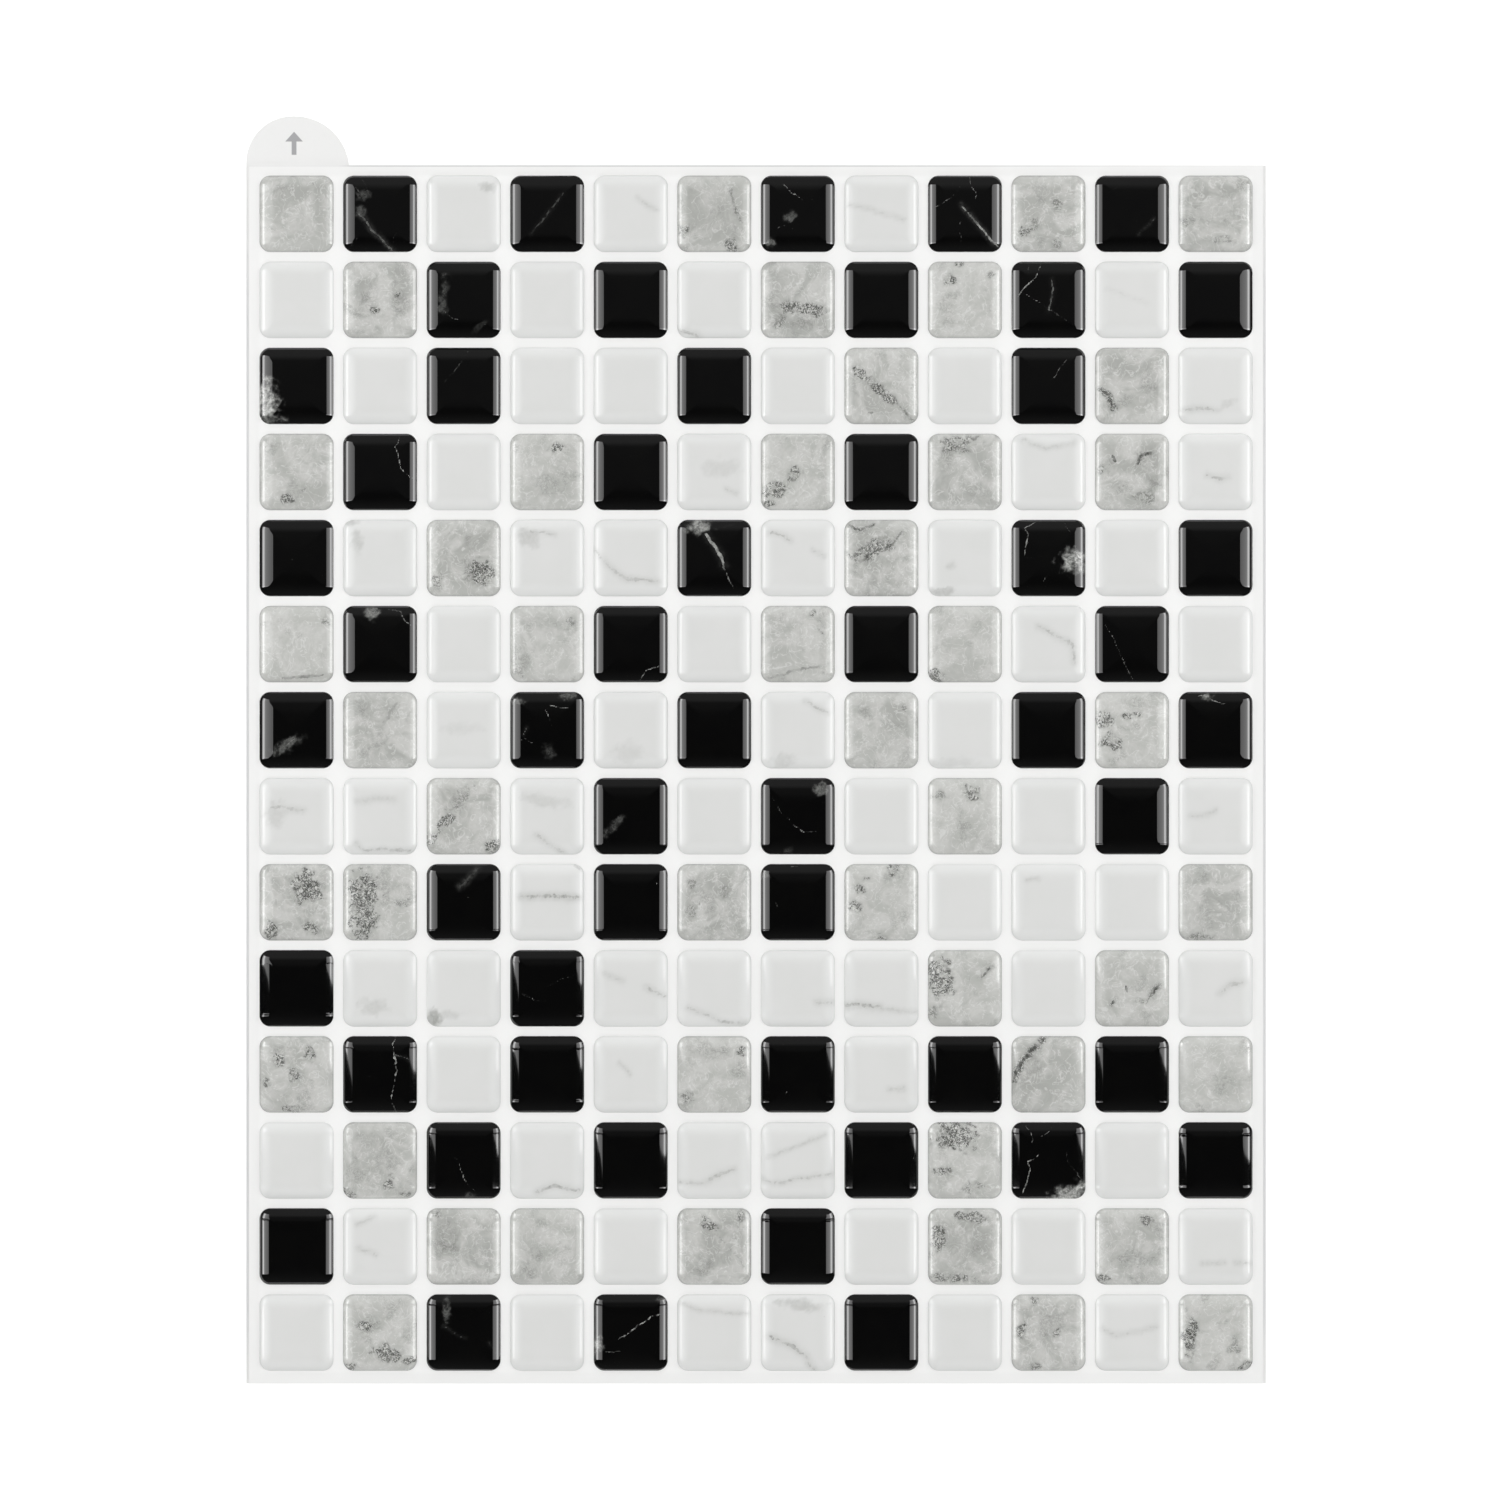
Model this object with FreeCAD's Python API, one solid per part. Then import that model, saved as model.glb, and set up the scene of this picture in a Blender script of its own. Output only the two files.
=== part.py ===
import FreeCAD, Part
import math
import os

# A peel and stick mosaic backsplash sheet, lying on its release liner with the tiles up.
# From the bottom: a paper release liner with a half-round peel tab, a white grout-coloured
# film that carries the glue on its back, and 14 rows of 12 domed gel tiles on the film.
# Each gel tile is a puddle of clear resin over a printed square: flat in the middle, with a
# shoulder that rolls down to the film all round, and rounded corners.
# The origin is the middle of the sheet on the liner's back. X runs along the rows,
# Y runs from the bottom row up to the peel tab, and Z is up out of the tiles.
# All sizes are in millimetres.

# The gel tiles
tile_width = 17.8
tile_length = 18.4
tile_corner_radius = 2.6
gel_height = 1.4
shoulder_width = 4.0    # from the rim to where the gel is flat
roll_off = 1.2          # distance over which the gel's slope falls to about a third of its slope at the rim
rim_width = 0.75        # the steep first band of the shoulder
corner_flat_count = 3   # flats that stand for each round corner, few because 168 tiles repeat them

# The grout lines between the tiles, and the film's border outside them
grout_across = 2.3
grout_along = 2.3
border_side = 2.55
border_top = 2.5
border_bottom = 3.1

# The sheets that the tiles sit on
film_thickness = 0.45
liner_thickness = 0.15
liner_side_reveal = 0.7   # liner that shows beyond the film's left and right edges

# The peel tab on the liner, at the left end of the sheet's top edge
tab_neck = 0.65           # straight run up from the sheet's edge, on the tab's left
tab_left_radius = 11.2
tab_crown = 0.4           # straight run along the tab's top, between its two round sides
tab_right_radius = 13.2

# Which stone each tile is printed as, as the rows are laid: B black, G grey and W white marble
laying_plan = (
    "GBWBWGBWBGBG",
    "WGBWBWGBGBWB",
    "BWBWWBWGWBGW",
    "GBWGBWGBGWGW",
    "BWGWWBWGWBWB",
    "GBWGBWGBGWBW",
    "BGWBWBWGWBGB",
    "WWGWBWBWGWBW",
    "GGBWBGBGWWWG",
    "BWWBWWWWGWGW",
    "GBWBWGBWBGBG",
    "WGBWBWWBGBWB",
    "BWGGWGBWGWGW",
    "WGBWBWWBWGWG",
)
stones = {"B": "black", "G": "grey", "W": "white"}

# What follows from those sizes
rows = len(laying_plan)
columns = len(laying_plan[0])
pitch_across = tile_width + grout_across
pitch_along = tile_length + grout_along
film_width = columns * tile_width + (columns - 1) * grout_across + 2 * border_side
film_length = rows * tile_length + (rows - 1) * grout_along + border_top + border_bottom
liner_width = film_width + 2 * liner_side_reveal
film_top = liner_thickness + film_thickness
top_row_y = film_length / 2 - border_top - tile_length / 2
tab_height = tab_neck + tab_left_radius


def round_side(centre, radius, start, end):
    """An arc about a centre, from one angle to another, in degrees."""
    points = []
    for angle in (start, (start + end) / 2, end):
        turn = math.radians(angle)
        points.append(centre + FreeCAD.Vector(radius * math.cos(turn), radius * math.sin(turn), 0))
    return Part.Arc(*points).toShape()


def release_liner():
    """The liner: the sheet's rectangle with the half-round peel tab on its top edge.

    The tab's left side runs straight up out of the sheet's side and then turns a quarter circle.
    Its right side is one wider arc from the crown down to the sheet's edge.
    """
    left = -liner_width / 2
    right = liner_width / 2
    bottom = -film_length / 2
    top = film_length / 2
    left_centre = FreeCAD.Vector(left + tab_left_radius, top + tab_neck, 0)
    right_centre = FreeCAD.Vector(left_centre.x + tab_crown, top + tab_height - tab_right_radius, 0)
    root_angle = math.degrees(math.asin((tab_right_radius - tab_height) / tab_right_radius))
    right_side = round_side(right_centre, tab_right_radius, root_angle, 90)
    left_side = round_side(left_centre, tab_left_radius, 90, 180)
    root = right_side.valueAt(right_side.FirstParameter)
    crown_right = right_side.valueAt(right_side.LastParameter)
    crown_left = left_side.valueAt(left_side.FirstParameter)
    neck = left_side.valueAt(left_side.LastParameter)
    sheet = [
        FreeCAD.Vector(left, bottom, 0),
        FreeCAD.Vector(right, bottom, 0),
        FreeCAD.Vector(right, top, 0),
    ]
    straight_runs = [(neck, sheet[0]), (sheet[0], sheet[1]), (sheet[1], sheet[2]), (sheet[2], root)]
    edges = [Part.makeLine(a, b) for a, b in straight_runs]
    edges += [right_side, Part.makeLine(crown_right, crown_left), left_side]
    return Part.Face(Part.Wire(edges)).extrude(FreeCAD.Vector(0, 0, liner_thickness))


def backing_film():
    """The white film, glued side down on the liner."""
    corner = FreeCAD.Vector(-film_width / 2, -film_length / 2, liner_thickness)
    return Part.makeBox(film_width, film_length, film_thickness, corner)


def gel_surface(inset):
    """Height of the gel above the film, at a distance in from the tile's edge.

    A puddle held by its skin is steepest at its rim, and its slope dies away inwards by the same
    share in each step, which is an exponential curve.
    """
    risen = 1 - math.exp(-inset / roll_off)
    return gel_height * risen / (1 - math.exp(-shoulder_width / roll_off))


def ring(inset):
    """The tile's outline moved in by inset, at the gel's height there: a list of points for each corner.

    The corner's radius shrinks with the inset. Where it has run out, the corner is one point.
    """
    radius = max(tile_corner_radius - inset, 0)
    half_width = tile_width / 2 - inset - radius
    half_length = tile_length / 2 - inset - radius
    flats = corner_flat_count if radius > 0 else 0
    corners = []
    for quarter, (side_x, side_y) in enumerate(((1, 1), (-1, 1), (-1, -1), (1, -1))):
        points = []
        for step in range(flats + 1):
            turn = math.radians(90) * (quarter + step / max(flats, 1))
            x = side_x * half_width + radius * math.cos(turn)
            y = side_y * half_length + radius * math.sin(turn)
            points.append(FreeCAD.Vector(x, y, gel_surface(inset)))
        corners.append(points)
    return corners


def flat_face(points):
    return Part.Face(Part.makePolygon(points + points[:1]))


def band(lower, upper):
    """The flat faces between two rings, from one corner and the side after it to the next."""
    faces = []
    for corner in range(4):
        after = (corner + 1) % 4
        low, high = lower[corner], upper[corner]
        for step in range(len(low) - 1):
            if len(high) > 1:
                faces.append(flat_face([low[step], low[step + 1], high[step + 1], high[step]]))
            else:
                faces.append(flat_face([low[step], low[step + 1], high[0]]))
        faces.append(flat_face([low[-1], lower[after][0], upper[after][0], high[-1]]))
    return faces


def gel_tile():
    """One domed gel tile, centred on the origin with its printed face down."""
    corner_run_out = min(tile_corner_radius, shoulder_width)
    insets = sorted({0.0, rim_width, corner_run_out, shoulder_width})
    rings = [ring(inset) for inset in insets]
    faces = []
    for lower, upper in zip(rings, rings[1:]):
        faces += band(lower, upper)
    faces.append(flat_face([point for corner in rings[0] for point in corner]))
    faces.append(flat_face([point for corner in rings[-1] for point in corner]))
    dome = Part.Solid(Part.Shell(faces))
    dome.fix(1e-6, 1e-6, 1e-6)
    return dome


def place_of(row, column):
    """Centre of a tile's printed face on the film. Row 0 is the top row and column 0 the left one."""
    x = (column - (columns - 1) / 2) * pitch_across
    return FreeCAD.Vector(x, top_row_y - row * pitch_along, film_top)


def laid_tiles(dome, row, letter):
    """The tiles of one stone in one row, each a solid of its own."""
    places = [place_of(row, column) for column in range(columns) if laying_plan[row][column] == letter]
    return Part.makeCompound([dome.translated(place) for place in places])


os.makedirs("parts", exist_ok=True)
release_liner().exportStep("parts/release_liner.step")
backing_film().exportStep("parts/backing_film.step")
dome = gel_tile()
for row in range(rows):
    for letter, stone in stones.items():
        if letter in laying_plan[row]:
            laid_tiles(dome, row, letter).exportStep(f"parts/row_{row + 1:02d}_{stone}_tiles.step")
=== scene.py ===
# %% [markdown]
# # A peel and stick mosaic sheet
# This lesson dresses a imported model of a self-adhesive mosaic sheet: 168 small squares of clear gel
# over marble prints, on a white film, on a paper liner with a peel tab. The model brings the true
# sizes and places. Everything added here sits exactly where the model says, and only adds the looks.

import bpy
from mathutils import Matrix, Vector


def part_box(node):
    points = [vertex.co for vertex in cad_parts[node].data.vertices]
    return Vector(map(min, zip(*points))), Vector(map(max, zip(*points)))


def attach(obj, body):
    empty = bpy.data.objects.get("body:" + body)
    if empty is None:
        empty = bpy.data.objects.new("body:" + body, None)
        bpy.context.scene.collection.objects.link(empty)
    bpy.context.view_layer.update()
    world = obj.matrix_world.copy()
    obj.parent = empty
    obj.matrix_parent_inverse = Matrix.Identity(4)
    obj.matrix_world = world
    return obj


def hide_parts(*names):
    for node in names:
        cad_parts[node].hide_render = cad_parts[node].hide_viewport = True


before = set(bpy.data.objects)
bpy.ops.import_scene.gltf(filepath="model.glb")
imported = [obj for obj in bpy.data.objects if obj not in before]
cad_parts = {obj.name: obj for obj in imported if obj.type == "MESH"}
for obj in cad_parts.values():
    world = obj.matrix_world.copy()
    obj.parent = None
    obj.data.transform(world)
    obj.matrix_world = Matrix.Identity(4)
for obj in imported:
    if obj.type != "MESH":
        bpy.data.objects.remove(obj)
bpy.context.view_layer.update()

# %% [markdown]
# ## Sizes from the model
# The real sheet has one mould for all its squares, so one square's size and the pitch between
# squares describe them all. They could be typed in again here, but a second copy of a size drifts
# from the first. So each tile node's solids are found again by walking over the mesh's islands, and
# every width, height and place below is read from them.

# %% Find every tile in the model
import math

import bmesh
import bpy
import numpy as np
from mathutils import Matrix, Vector

WELD = 1e-6
MICROMETRE_DIGITS = 6


def islands(node):
    """The lowest and highest corner of each separate solid in a node of the model, from left to right."""
    copy = bmesh.new()
    copy.from_mesh(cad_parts[node].data)
    bmesh.ops.remove_doubles(copy, verts=copy.verts, dist=WELD)
    left = set(copy.verts)
    found = []
    while left:
        group, edge_of_walk = set(), {left.pop()}
        while edge_of_walk:
            vert = edge_of_walk.pop()
            group.add(vert)
            near = {e.other_vert(vert) for e in vert.link_edges}
            edge_of_walk |= near - group
        left -= group
        corners = np.array([v.co for v in group])
        found.append((corners.min(axis=0), corners.max(axis=0)))
    copy.free()
    return sorted(found, key=lambda box: box[0][0])


tile_nodes = sorted(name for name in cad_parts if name.endswith("_tiles"))
tiles_in = {name: islands(name) for name in tile_nodes}
low, high = tiles_in[tile_nodes[0]][0]
tile_width, tile_length, gel_height = high - low
film_top = low[2]
centres = np.array([(lo + hi) / 2 for boxes in tiles_in.values() for lo, hi in boxes])
column_places = np.unique(centres[:, 0].round(MICROMETRE_DIGITS))
row_places = np.unique(centres[:, 1].round(MICROMETRE_DIGITS))[::-1]
row_pitch = row_places[0] - row_places[1]
print(len(centres), "tiles of", tile_width, "by", tile_length, "by", gel_height)
print(len(column_places), "columns and", len(row_places), "rows", row_pitch, "apart")

# %% [markdown]
# ## The camera
# The sheet is photographed from straight above. A long lens keeps the tiles' sides square, as in
# the photograph. The sheet's outline in the picture gives the scale: its width in pixels over its
# width in metres says how much of the floor the square frame takes in, and the lens then says how
# high the camera hangs.

# %% Hang the camera over the sheet
PHOTO_SIDE = 1500.0
SHEET_LEFT, SHEET_RIGHT = 245.5, 1265.6
SHEET_TOP, SHEET_BOTTOM = 164.6, 1383.2
LENS_MM, SENSOR_MM = 85.0, 36.0

liner_low, liner_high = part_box("release_liner")
film_low, film_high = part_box("backing_film")
metres_per_pixel = (liner_high.x - liner_low.x) / (SHEET_RIGHT - SHEET_LEFT)
photo_centre = (PHOTO_SIDE - 1) / 2
view_width = PHOTO_SIDE * metres_per_pixel
camera_data = bpy.data.cameras.new("overhead_camera")
camera_data.lens = LENS_MM
camera_data.sensor_width = SENSOR_MM
camera = bpy.data.objects.new("overhead_camera", camera_data)
camera.location = (
    (photo_centre - (SHEET_LEFT + SHEET_RIGHT) / 2) * metres_per_pixel,
    ((SHEET_TOP + SHEET_BOTTOM) / 2 - photo_centre) * metres_per_pixel,
    view_width * LENS_MM / SENSOR_MM + film_top,
)
bpy.context.scene.collection.objects.link(camera)
bpy.context.scene.camera = camera
print("camera at", tuple(round(c, 4) for c in camera.location), "sees", round(view_width, 4), "m")

# %% [markdown]
# ## Shader sums in plain Python
# A material in Blender is a web of nodes. Written out node by node, a sum such as 1 - mask takes
# five lines. Here one small class wraps an output socket, and its operators add the Math node for
# each sum. Colours don't go through it, because a Math node would turn them grey: they are mixed by
# a Mix node, in the helper named blend.

# %% Wrap a socket so that sums make nodes
# The Mix node has three sets of inputs, and these are the places of its share and its two colours.
MIX_SHARE, MIX_FIRST, MIX_SECOND = 0, 6, 7


class Wire:
    """One output socket of a finish, which can be added, subtracted and multiplied in Python."""

    def __init__(self, finish, socket):
        self.finish = finish
        self.socket = socket

    def __add__(self, other):
        return self.finish.maths("ADD", self, other)

    def __radd__(self, other):
        return self.finish.maths("ADD", other, self)

    def __sub__(self, other):
        return self.finish.maths("SUBTRACT", self, other)

    def __rsub__(self, other):
        return self.finish.maths("SUBTRACT", other, self)

    def __mul__(self, other):
        return self.finish.maths("MULTIPLY", self, other)

    def __rmul__(self, other):
        return self.finish.maths("MULTIPLY", other, self)

    def __abs__(self):
        return self.finish.maths("ABSOLUTE", self)


class Finish:
    """A material, or the room around, whose nodes are made by node() and by sums of wires."""

    def __init__(self, name, owner=None):
        self.owner = owner or bpy.data.materials.new(name)
        self.owner.use_nodes = True
        self.tree = self.owner.node_tree
        self.tree.nodes.clear()

    def node(self, kind, settings=None, sockets=None):
        """Adds a node: settings first, then a value or a wire for each input. Returns its wires."""
        made = self.tree.nodes.new(kind)
        for name, value in (settings or {}).items():
            if name == "stops":
                set_stops(made.color_ramp, value)
            else:
                setattr(made, name, value)
        for name, value in (sockets or {}).items():
            if isinstance(value, Wire):
                self.tree.links.new(value.socket, made.inputs[name])
            else:
                made.inputs[name].default_value = value
        return {out.name: Wire(self, out) for out in made.outputs if out.enabled}

    def maths(self, operation, first, second=0.0):
        """One sum of wires and numbers."""
        return self.node("ShaderNodeMath", {"operation": operation}, {0: first, 1: second})["Value"]

    def blend(self, share, first, second, way="MIX"):
        """A colour between two colours, by a share that is a wire or a number."""
        settings = {"data_type": "RGBA", "blend_type": way}
        sockets = {MIX_SHARE: share, MIX_FIRST: first, MIX_SECOND: second}
        return self.node("ShaderNodeMix", settings, sockets)["Result"]

    def parts(self, vector):
        """The X, Y and Z of a vector."""
        return self.node("ShaderNodeSeparateXYZ", None, {"Vector": vector})

    def ramp(self, value, stops):
        """A colour by a value from 0 to 1, between stops that each have a place and a colour."""
        return self.node("ShaderNodeValToRGB", {"stops": stops}, {"Fac": value})["Color"]

    def band(self, value, start, end):
        """0 below start, 1 above end, and a smooth rise between them."""
        settings = {"interpolation_type": "SMOOTHSTEP"}
        sockets = {"Value": value, "From Min": start, "From Max": end}
        return self.node("ShaderNodeMapRange", settings, sockets)["Result"]

    def noise(self, place, cell, detail=2.0, slice_of=None, rough=0.5, warp=0.0):
        """Cloudy noise from 0 to 1, with blobs about a cell wide, in metres."""
        sockets = {"Vector": place, "Scale": 1 / cell, "Detail": detail}
        sockets.update({"Roughness": rough, "Distortion": warp})
        settings = {"noise_dimensions": "3D"}
        if slice_of is not None:
            settings = {"noise_dimensions": "4D"}
            sockets["W"] = slice_of
        return self.node("ShaderNodeTexNoise", settings, sockets)["Fac"]

    def bump(self, height, distance, strength=1.0):
        """A normal that leans as a height in metres would make it lean."""
        sockets = {"Strength": strength, "Distance": distance, "Height": height}
        return self.node("ShaderNodeBump", None, sockets)["Normal"]

    def surface(self, colour, roughness, normal, **constants):
        """The shader at the end. A constant is set on the shader's own socket."""
        sockets = {"Base Color": colour, "Roughness": roughness, "Normal": normal, **constants}
        shader = self.node("ShaderNodeBsdfPrincipled", None, sockets)["BSDF"]
        self.node("ShaderNodeOutputMaterial", None, {"Surface": shader})
        return self.owner


def set_stops(ramp, stops):
    """Gives a colour ramp its stops, each a place from 0 to 1 and a colour."""
    while len(ramp.elements) < len(stops):
        ramp.elements.new(1.0)
    for element, (place, colour) in zip(ramp.elements, stops):
        element.position = place
        element.color = colour


def shade(red, green=None, blue=None):
    """A colour as it should look on screen, from 0 to 255, as the linear values that nodes take."""
    seen = (red, red if green is None else green, red if blue is None else blue)
    linear = [((v / 255 + 0.055) / 1.055) ** 2.4 if v > 10 else v / 255 / 12.92 for v in seen]
    return (*linear, 1.0)


print("shade(239) is", round(shade(239)[0], 3))

# %% [markdown]
# ## The floor
# The photograph has a pure white ground. A very bright floor could give that, but it would throw
# its light back on the sheet. So the floor is an ordinary pale floor, and only the camera, mirrors and
# clear things see a share of plain white added to it. The rest of what the camera sees is the lit
# floor itself, which keeps the sheet's soft shadow.

# %% Lay the floor
FLOOR_SIDE = 6.0
FLOOR_GAP = 2e-5
FLOOR_CELLS = 8
ADDED_WHITE, ADDED_SHARE = 1.3, 0.62

floor_mesh = bpy.data.meshes.new("floor")
floor_shape = bmesh.new()
bmesh.ops.create_grid(floor_shape, x_segments=FLOOR_CELLS, y_segments=FLOOR_CELLS, size=FLOOR_SIDE / 2)
floor_shape.to_mesh(floor_mesh)
floor_shape.free()
floor = bpy.data.objects.new("floor", floor_mesh)
floor.location.z = liner_low.z - FLOOR_GAP
bpy.context.scene.collection.objects.link(floor)

pale = Finish("pale_floor")
rays = pale.node("ShaderNodeLightPath")
clear_view = pale.maths("MAXIMUM", rays["Is Camera Ray"], rays["Is Transmission Ray"])
clear_view = pale.maths("MAXIMUM", clear_view, rays["Is Glossy Ray"])
paint = pale.node("ShaderNodeBsdfDiffuse", None, {"Color": shade(235)})["BSDF"]
white = pale.node("ShaderNodeEmission", None, {"Color": shade(255), "Strength": ADDED_WHITE})["Emission"]
mixed = {0: clear_view * ADDED_SHARE, 1: paint, 2: white}
mixed = pale.node("ShaderNodeMixShader", None, mixed)["Shader"]
pale.node("ShaderNodeOutputMaterial", None, {"Surface": mixed})
floor.data.materials.append(pale.owner)
print("floor laid", floor.dimensions)

# %% [markdown]
# ## Softboxes
# Each gel square mirrors what hangs around it. The bright stripes along their left and right
# shoulders are two tall softboxes, one on each side, and the dark middles are the dark ceiling. A
# softbox has a bright core and falls off to its edges. One lamp has one brightness, so each softbox
# is made of narrow strips side by side on an arc around the sheet, weak high up near the camera and
# bright low down.

# %% Hang the softboxes
# Angles are in degrees from straight up, and a glow level belongs to each.
ARC_RADIUS = 0.975
GLOW_ANGLES = (21.4, 30, 45, 54, 58, 64, 70, 77)
GLOW_LEVELS = (1.05, 1.45, 1.95, 2.8, 6.4, 6.6, 3.6, 2.6)
INNER_EDGES = {-1: 22.3, 1: 23.5}
OUTER_EDGE = 77
STRIPS = 12
BOX_BOTTOM, BOX_TOP = -0.094, 0.50


def panel(name, middle, across, along, width, length, radiance):
    """A lamp with a middle and two directions. It shines towards the sheet."""
    lamp = bpy.data.lights.new(name, "AREA")
    lamp.shape = "RECTANGLE"
    lamp.size = width
    lamp.size_y = length
    lamp.energy = radiance * math.pi * width * length
    face = across.cross(along)
    if face.dot(middle) < 0:
        across, face = -across, -face
    holder = bpy.data.objects.new(name, lamp)
    turned = Matrix((across, along, face)).transposed().to_4x4()
    holder.matrix_world = Matrix.Translation(middle) @ turned
    holder.visible_camera = False
    bpy.context.scene.collection.objects.link(holder)
    return holder


def on_arc(side, degrees):
    """A place on the arc over the sheet, so many degrees down from straight up."""
    lean = math.radians(degrees)
    middle_y = (BOX_BOTTOM + BOX_TOP) / 2
    return Vector((side * ARC_RADIUS * math.sin(lean), middle_y, ARC_RADIUS * math.cos(lean)))


lamp_count = 0
for side, side_name in ((-1, "left"), (1, "right")):
    edges = np.linspace(INNER_EDGES[side], OUTER_EDGE, STRIPS + 1)
    for number, (inner, outer) in enumerate(zip(edges, edges[1:])):
        start, end = on_arc(side, inner), on_arc(side, outer)
        run = end - start
        radiance = float(np.interp((inner + outer) / 2, GLOW_ANGLES, GLOW_LEVELS))
        name, middle, tall = f"{side_name}_softbox_{number}", (start + end) / 2, BOX_TOP - BOX_BOTTOM
        panel(name, middle, run.normalized(), Vector((0, 1, 0)), run.length, tall, radiance)
        lamp_count += 1
print(lamp_count, "strips of softbox")

# %% [markdown]
# The softboxes alone leave the upper and lower shoulders of each square too dark, and the grout
# lines between the columns darker than those between the rows. Two wide panels, one beyond the top
# of the sheet and one beyond its bottom, even that out. The far one is larger and hangs further off,
# because its light then falls evenly on near and far rows. Their own reflection would wash out the
# dark middles of the black squares, so mirrors don't see them.

# %% Hang the fill panels
FILLS = {
    "near": {"y": -1.1, "z": 0.62, "width": 1.2, "length": 0.8, "glow": 3.0},
    "far": {"y": 1.84, "z": 0.99, "width": 1.92, "length": 1.28, "glow": 2.6},
}

for place, fill in FILLS.items():
    middle, across = Vector((0.0, fill["y"], fill["z"])), Vector((1, 0, 0))
    along = middle.normalized().cross(across)
    hung = panel(f"{place}_fill", middle, across, along, fill["width"], fill["length"], fill["glow"])
    hung.visible_glossy = False
    print(place, "panel faces", tuple(round(c, 2) for c in -hung.matrix_world.col[2].xyz))

# %% [markdown]
# ## The room
# The room around is dim, a little brighter towards the top of the picture, where the upper shoulder
# of each black square mirrors it. A ramp over the ray's direction says how bright each part is.
#
# In the photograph the stripes of rows 10 to 12 are cut short to wedges, and those of rows 13 and
# 14 are whole again. A mirror lets each row see its own slice of a far room, because the camera
# looks at each row under its own slant. So the lower end of the light is painted on the room: one
# wedge for each of three rows, and then a whole stripe.

# %% Paint the room
# Places run from the bottom of the picture to its top, and each has the room's level of light there.
ROOM_PLACES = (0.0, 0.3, 0.45, 0.5, 0.54, 0.62, 0.68, 0.74, 1.0)
ROOM_LEVELS = (0.07, 0.03, 0.01, 0.012, 0.04, 0.05, 0.12, 0.17, 0.17)
# A ramp's colours stop at 1, so the levels are painted divided by this, and the room is as much brighter.
ROOM_GAIN = 10.0
# Rows count from 0. A wedge lies between two angles, and reaches down its row by a share of the row at
# its inner and at its outer edge.
WEDGE_ROW, WHOLE_ROW = 9, 12
WEDGE_EDGE, WEDGE_FOOT = 25.0, 77.0
LEFT_REACH = (0.52, 0.12)
RIGHT_REACH = (0.18, 0.4)
# Soft edges, in rows: along a wedge, where the whole stripe begins, and at both ends of the painting.
WEDGE_SOFTNESS = 0.02
WHOLE_RISE = (-0.16, -0.1)
FIRST_RISE, LAST_FALL = 0.04, 0.1


def slant_of(row):
    """How far the camera's ray at a row's top edge leans along Y, as a share of its length."""
    away = Vector((0.0, row_places[row] + tile_length / 2, film_top + gel_height)) - camera.location
    return away.normalized().y


def painted(levels):
    """The greys that a ramp needs for some levels of light."""
    return [(level / ROOM_GAIN,) * 3 + (1.0,) for level in levels]


def reach_down(outward, ends):
    """How far down its row a wedge reaches, where outward runs from 0 at its inner edge to 1."""
    inner, outer = ends
    return outward * (outer - inner) + inner


room = Finish("studio", bpy.data.worlds.new("studio"))
bpy.context.scene.world = room.owner
toward = room.parts(room.node("ShaderNodeTexCoord")["Generated"])
dim = room.ramp(toward["Y"] * 0.5 + 0.5, list(zip(ROOM_PLACES, painted(ROOM_LEVELS))))
last_row = len(row_places) - 1
first_slant, last_slant = slant_of(WEDGE_ROW), slant_of(last_row)
slant_step = (first_slant - last_slant) / (last_row - WEDGE_ROW)
rows_down = (first_slant - toward["Y"]) * (1 / slant_step)
down_row = room.maths("FRACT", rows_down)
lean = room.maths("ARCTAN2", abs(toward["X"]), toward["Z"]) * math.degrees(1)
glow_places = [angle / 90 for angle in GLOW_ANGLES]
stripe = room.ramp(lean * (1 / 90), list(zip(glow_places, painted(GLOW_LEVELS))))
in_stripe = room.band(lean, WEDGE_EDGE - 1, WEDGE_EDGE) - room.band(lean, WEDGE_FOOT, WEDGE_FOOT + 1)
outward = room.maths("MAXIMUM", lean - WEDGE_EDGE, 0.0) * (1 / (WEDGE_FOOT - WEDGE_EDGE))
outward = room.maths("SQRT", outward)
to_right = room.band(toward["X"], -0.01, 0.01)
reach = reach_down(outward, LEFT_REACH) * (1 - to_right) + reach_down(outward, RIGHT_REACH) * to_right
wedge = 1 - room.band(down_row - reach, -WEDGE_SOFTNESS, WEDGE_SOFTNESS)
whole_from, end_row = WHOLE_ROW - WEDGE_ROW, len(row_places) - WEDGE_ROW
whole = room.band(rows_down, whole_from + WHOLE_RISE[0], whole_from + WHOLE_RISE[1])
lit = (wedge * (1 - whole) + whole) * in_stripe * room.band(rows_down, -FIRST_RISE, 0.0)
lit = lit * (1 - room.band(rows_down, end_row - LAST_FALL, end_row))
both = room.blend(lit, dim, stripe, "ADD")
room_rays = room.node("ShaderNodeLightPath")["Is Camera Ray"]
# Beyond the floor the camera sees plain white in place of the dim room.
plain_white = painted([1.0])[0]
room_seen = room.blend(room_rays, both, plain_white)
room_light = {"Color": room_seen, "Strength": ROOM_GAIN}
backdrop = room.node("ShaderNodeBackground", None, room_light)["Background"]
room.node("ShaderNodeOutputWorld", None, {"Surface": backdrop})
bpy.context.scene.view_settings.view_transform = "Standard"
print("slants of the painted rows:", round(first_slant, 4), "to", round(last_slant, 4))

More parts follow.
